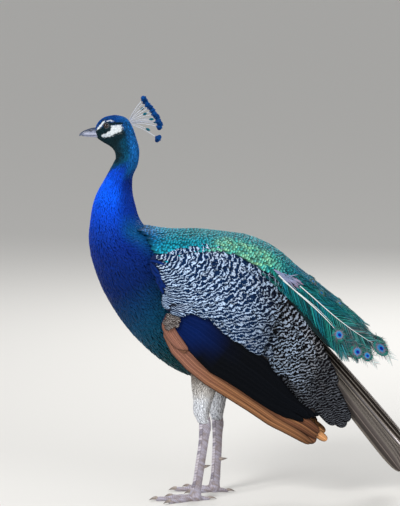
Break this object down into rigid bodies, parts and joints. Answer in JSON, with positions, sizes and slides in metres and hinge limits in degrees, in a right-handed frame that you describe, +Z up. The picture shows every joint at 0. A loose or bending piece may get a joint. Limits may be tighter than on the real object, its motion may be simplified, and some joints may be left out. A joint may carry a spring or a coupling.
{
  "type": "peacock",
  "caption": "Life-size standing male Indian peafowl with a fan crest, folded barred wings, rufous flight feathers and a short eyed train.",
  "frame": {"origin": "middle of the bird's box at the height of its soles", "axes": "+Z up, -X the way the bird faces, -Y its left side"},
  "size_m": [0.6562, 0.209, 0.8112],
  "materials": {
    "head_feathers": "short glossy blue-green plumage with white cheek",
    "blue_feathers": "iridescent blue plumage",
    "green_feathers": "iridescent green scaled plumage",
    "barred_feathers": "matt plumage barred black and off-white",
    "dark_feathers": "black-blue plumage with a slight gloss",
    "rufous_feathers": "matt rufous flight feathers",
    "tail_feathers": "matt brown tail feathers",
    "pale_down": "soft pale down",
    "leg_skin": "scaled grey skin",
    "horn": "semi-gloss horn",
    "eye": "wet dark eye"
  },
  "bodies": {
    "root": {"head": "head_feathers", "neck": "blue_feathers", "breast": "blue_feathers", "trunk": "green_feathers", "eye_left": "eye", "eye_right": "eye", "bill_upper": "horn", "bill_lower": "horn", "crest": "blue_feathers", "train": "green_feathers", "tail": "tail_feathers", "wing_left_coverts": "barred_feathers", "wing_right_coverts": "barred_feathers", "wing_left_tertials": "barred_feathers", "wing_right_tertials": "barred_feathers", "wing_left_secondaries": "dark_feathers", "wing_right_secondaries": "dark_feathers", "wing_left_alula": "rufous_feathers", "wing_right_alula": "rufous_feathers", "wing_left_primaries": "rufous_feathers", "wing_right_primaries": "rufous_feathers", "thigh_left": "pale_down", "thigh_right": "pale_down", "tarsus_left": "leg_skin", "tarsus_right": "leg_skin", "foot_left": "leg_skin", "foot_right": "leg_skin", "spur_left": "horn", "spur_right": "horn", "claw_left_inner": "horn", "claw_left_middle": "horn", "claw_left_outer": "horn", "claw_left_hind": "horn", "claw_right_inner": "horn", "claw_right_middle": "horn", "claw_right_outer": "horn", "claw_right_hind": "horn"}
  },
  "joints": []
}
